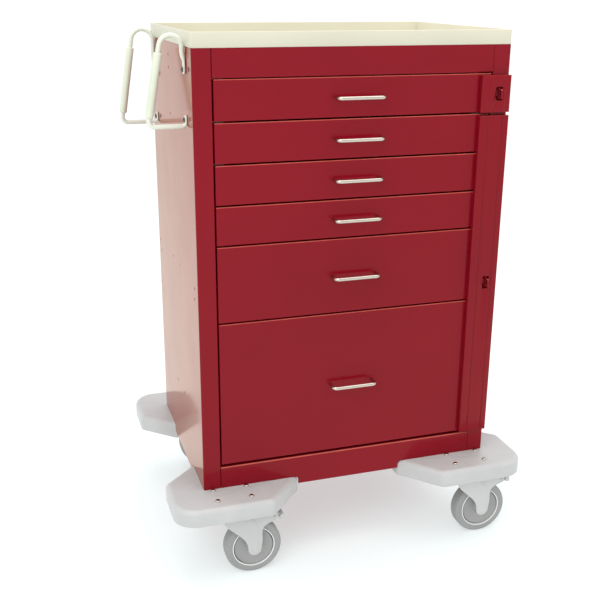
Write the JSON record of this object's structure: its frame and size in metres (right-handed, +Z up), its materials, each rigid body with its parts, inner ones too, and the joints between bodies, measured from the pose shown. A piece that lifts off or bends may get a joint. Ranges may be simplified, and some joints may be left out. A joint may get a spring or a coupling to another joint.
{
  "type": "crash cart",
  "caption": "Hospital crash cart: enamelled steel cabinet with drawers, tray top, push handles, a breakaway lock bar, corner bumpers and swivel casters.",
  "frame": {"origin": "on the floor, under the middle of the cabinet", "axes": "+Z up; -Y is the front, the way the drawers open; +X is to the right of a person facing the drawers"},
  "size_m": [0.8226, 0.62, 1.135],
  "materials": {
    "red_enamel": "glossy baked enamel",
    "cream_enamel": "satin baked enamel",
    "handle_enamel": "glossy enamel",
    "grip_plastic": "soft matte vinyl sleeve",
    "bumper_plastic": "satin moulded polyethylene",
    "zinc_steel": "galvanised",
    "chrome": "bright nickel-chrome plating",
    "fork_paint": "satin silver-grey paint",
    "wheel_core": "moulded nylon",
    "tyre_rubber": "grey non-marking rubber"
  },
  "bodies": {
    "cabinet": {"left_side_panel": "red_enamel", "right_side_panel": "red_enamel", "back_panel": "red_enamel", "base_pan": "red_enamel", "top_deck": "red_enamel", "top_rail": "red_enamel", "bottom_rail": "red_enamel", "top_tray": "cream_enamel", "bumper_front_left": "bumper_plastic", "bumper_front_right": "bumper_plastic", "bumper_rear_left": "bumper_plastic", "bumper_rear_right": "bumper_plastic", "outriggers": "zinc_steel", "caster_plates": "zinc_steel", "caster_bolts": "chrome", "slide_posts": "zinc_steel", "fixed_slide_rails": "zinc_steel", "push_handle_front": "handle_enamel", "push_handle_rear": "handle_enamel", "handle_grips": "grip_plastic", "handle_screws": "chrome", "lock_hinge_leaves": "red_enamel", "lock_hinge_pins": "zinc_steel", "seal_staples": "red_enamel"},
    "lock_flap": {"lock_flap": "red_enamel"},
    "lock_bar": {"lock_bar": "red_enamel"},
    "drawer_1": {"drawer_1_front": "red_enamel", "drawer_1_box": "zinc_steel", "drawer_1_pull": "chrome"},
    "drawer_2": {"drawer_2_front": "red_enamel", "drawer_2_box": "zinc_steel", "drawer_2_pull": "chrome"},
    "drawer_3": {"drawer_3_front": "red_enamel", "drawer_3_box": "zinc_steel", "drawer_3_pull": "chrome"},
    "drawer_4": {"drawer_4_front": "red_enamel", "drawer_4_box": "zinc_steel", "drawer_4_pull": "chrome"},
    "drawer_5": {"drawer_5_front": "red_enamel", "drawer_5_box": "zinc_steel", "drawer_5_pull": "chrome"},
    "drawer_6": {"drawer_6_front": "red_enamel", "drawer_6_box": "zinc_steel", "drawer_6_pull": "chrome"},
    "middle_rails_5": {"middle_rails_5": "zinc_steel"},
    "middle_rails_6": {"middle_rails_6": "zinc_steel"},
    "caster_front_left": {"fork_front_left": "fork_paint"},
    "wheel_front_left": {"wheel_front_left": "wheel_core", "tyre_front_left": "tyre_rubber"},
    "caster_front_right": {"fork_front_right": "fork_paint"},
    "wheel_front_right": {"wheel_front_right": "wheel_core", "tyre_front_right": "tyre_rubber"},
    "caster_rear_left": {"fork_rear_left": "fork_paint"},
    "wheel_rear_left": {"wheel_rear_left": "wheel_core", "tyre_rear_left": "tyre_rubber"},
    "caster_rear_right": {"fork_rear_right": "fork_paint"},
    "wheel_rear_right": {"wheel_rear_right": "wheel_core", "tyre_rear_right": "tyre_rubber"},
    "brake_pedal_left": {"brake_pedal_left": "fork_paint"},
    "brake_pedal_right": {"brake_pedal_right": "fork_paint"}
  },
  "joints": [
    {"name": "lock_flap_hinge", "type": "hinge", "parent": "cabinet", "child": "lock_flap", "pos_m": [0.3272, -0.233, 1.00875], "axis": [0, 0, 1], "range_deg": [0, 120]},
    {"name": "lock_bar_hinge", "type": "hinge", "parent": "cabinet", "child": "lock_bar", "pos_m": [0.3272, -0.233, 0.60475], "axis": [0, 0, 1], "range_deg": [0, 120]},
    {"name": "drawer_1_slide", "type": "slide", "parent": "cabinet", "child": "drawer_1", "axis": [0, -1, 0], "range_m": [0, 0.3]},
    {"name": "drawer_2_slide", "type": "slide", "parent": "cabinet", "child": "drawer_2", "axis": [0, -1, 0], "range_m": [0, 0.3]},
    {"name": "drawer_3_slide", "type": "slide", "parent": "cabinet", "child": "drawer_3", "axis": [0, -1, 0], "range_m": [0, 0.3]},
    {"name": "drawer_4_slide", "type": "slide", "parent": "cabinet", "child": "drawer_4", "axis": [0, -1, 0], "range_m": [0, 0.3]},
    {"name": "drawer_5_slide", "type": "slide", "parent": "cabinet", "child": "drawer_5", "axis": [0, -1, 0], "range_m": [0, 0.4]},
    {"name": "drawer_6_slide", "type": "slide", "parent": "cabinet", "child": "drawer_6", "axis": [0, -1, 0], "range_m": [0, 0.4]},
    {"name": "middle_rails_5_slide", "type": "slide", "parent": "cabinet", "child": "middle_rails_5", "axis": [0, -1, 0], "range_m": [0, 0.2]},
    {"name": "middle_rails_6_slide", "type": "slide", "parent": "cabinet", "child": "middle_rails_6", "axis": [0, -1, 0], "range_m": [0, 0.2]},
    {"name": "swivel_front_left", "type": "hinge", "parent": "cabinet", "child": "caster_front_left", "pos_m": [-0.2736, -0.257, 0.145], "axis": [0, 0, 1], "continuous": true},
    {"name": "wheel_spin_front_left", "type": "hinge", "parent": "caster_front_left", "child": "wheel_front_left", "pos_m": [-0.233, -0.257, 0.0625], "axis": [0, 1, 0], "continuous": true},
    {"name": "swivel_front_right", "type": "hinge", "parent": "cabinet", "child": "caster_front_right", "pos_m": [0.2736, -0.257, 0.145], "axis": [0, 0, 1], "continuous": true},
    {"name": "wheel_spin_front_right", "type": "hinge", "parent": "caster_front_right", "child": "wheel_front_right", "pos_m": [0.3142, -0.257, 0.0625], "axis": [0, 1, 0], "continuous": true},
    {"name": "swivel_rear_left", "type": "hinge", "parent": "cabinet", "child": "caster_rear_left", "pos_m": [-0.2736, 0.257, 0.145], "axis": [0, 0, 1], "continuous": true},
    {"name": "wheel_spin_rear_left", "type": "hinge", "parent": "caster_rear_left", "child": "wheel_rear_left", "pos_m": [-0.233, 0.257, 0.0625], "axis": [0, 1, 0], "continuous": true},
    {"name": "swivel_rear_right", "type": "hinge", "parent": "cabinet", "child": "caster_rear_right", "pos_m": [0.2736, 0.257, 0.145], "axis": [0, 0, 1], "continuous": true},
    {"name": "wheel_spin_rear_right", "type": "hinge", "parent": "caster_rear_right", "child": "wheel_rear_right", "pos_m": [0.3142, 0.257, 0.0625], "axis": [0, 1, 0], "continuous": true},
    {"name": "brake_pedal_left_tilt", "type": "hinge", "parent": "caster_front_left", "child": "brake_pedal_left", "pos_m": [-0.189, -0.257, 0.1355], "axis": [0, 1, 0], "range_deg": [0, 12]},
    {"name": "brake_pedal_right_tilt", "type": "hinge", "parent": "caster_front_right", "child": "brake_pedal_right", "pos_m": [0.3582, -0.257, 0.1355], "axis": [0, 1, 0], "range_deg": [0, 12]}
  ],
  "couplings": [
    {"joint": "middle_rails_5_slide", "follows": "drawer_5_slide", "ratio": 0.5},
    {"joint": "middle_rails_6_slide", "follows": "drawer_6_slide", "ratio": 0.5}
  ]
}
